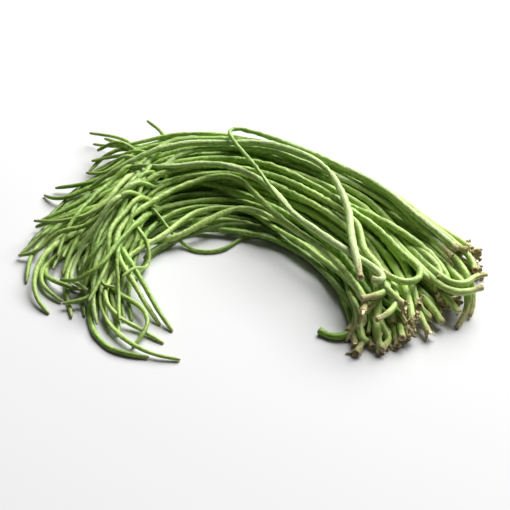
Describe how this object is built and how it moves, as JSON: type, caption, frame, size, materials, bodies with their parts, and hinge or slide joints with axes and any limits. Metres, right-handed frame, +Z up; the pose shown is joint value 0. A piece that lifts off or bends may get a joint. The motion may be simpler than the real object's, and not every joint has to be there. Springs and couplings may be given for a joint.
{
  "type": "yardlong bean bunch",
  "caption": "Loose bunch of fresh yardlong beans lying in a bend, with the stalk ends gathered at one side and the thin tips fanned out at the other.",
  "frame": {"origin": "middle of the bunch's bounding box, on the surface it lies on", "axes": "+X from the tips towards the stalk ends, along the bunch's longest side; +Y towards the outside of the bend; +Z up"},
  "size_m": [0.4544, 0.352, 0.057],
  "materials": {
    "green_pod": "satin plant skin, mid green with paler and darker streaks along the pod",
    "pale_pod": "satin plant skin, pale yellow-green",
    "shaded_pod": "satin plant skin, deep green",
    "dry_stalk": "dull dried stalk and calyx, straw to brown"
  },
  "bodies": {
    "root": {"crossing_pod_01": "pale_pod", "crossing_pod_02": "pale_pod", "crossing_pod_03": "pale_pod", "crossing_pod_04": "pale_pod", "crossing_pod_05": "pale_pod", "crown_pod_01": "green_pod", "crown_pod_02": "green_pod", "crown_pod_03": "green_pod", "crown_pod_04": "green_pod", "crown_pod_05": "green_pod", "crown_pod_06": "green_pod", "crown_pod_07": "green_pod", "crown_pod_08": "green_pod", "crown_pod_09": "green_pod", "fan_pod_01": "green_pod", "fan_pod_02": "green_pod", "fan_pod_03": "green_pod", "fan_pod_04": "green_pod", "fan_pod_05": "green_pod", "fan_pod_06": "green_pod", "fan_pod_07": "green_pod", "fan_pod_08": "green_pod", "fan_pod_09": "green_pod", "fan_pod_10": "green_pod", "fan_pod_11": "green_pod", "fan_pod_12": "green_pod", "fan_pod_13": "green_pod", "fan_pod_14": "green_pod", "fan_pod_15": "green_pod", "fan_pod_16": "green_pod", "fan_pod_17": "green_pod", "heart_pod_01": "shaded_pod", "heart_pod_02": "shaded_pod", "heart_pod_03": "shaded_pod", "heart_pod_04": "shaded_pod", "heart_pod_05": "shaded_pod", "heart_pod_06": "shaded_pod", "heart_pod_07": "shaded_pod", "heart_pod_08": "shaded_pod", "inner_pod_01": "green_pod", "inner_pod_02": "green_pod", "inner_pod_03": "green_pod", "inner_pod_04": "green_pod", "inner_pod_05": "green_pod", "inner_pod_06": "green_pod", "inner_pod_07": "green_pod", "inner_pod_08": "green_pod", "inner_pod_09": "green_pod", "inner_pod_10": "green_pod", "table_pod_01": "shaded_pod", "table_pod_02": "shaded_pod", "table_pod_03": "shaded_pod", "table_pod_04": "shaded_pod", "table_pod_05": "shaded_pod", "table_pod_06": "shaded_pod", "table_pod_07": "shaded_pod", "table_pod_08": "shaded_pod", "table_pod_09": "shaded_pod", "table_pod_10": "shaded_pod", "table_pod_11": "shaded_pod"}
  },
  "joints": []
}
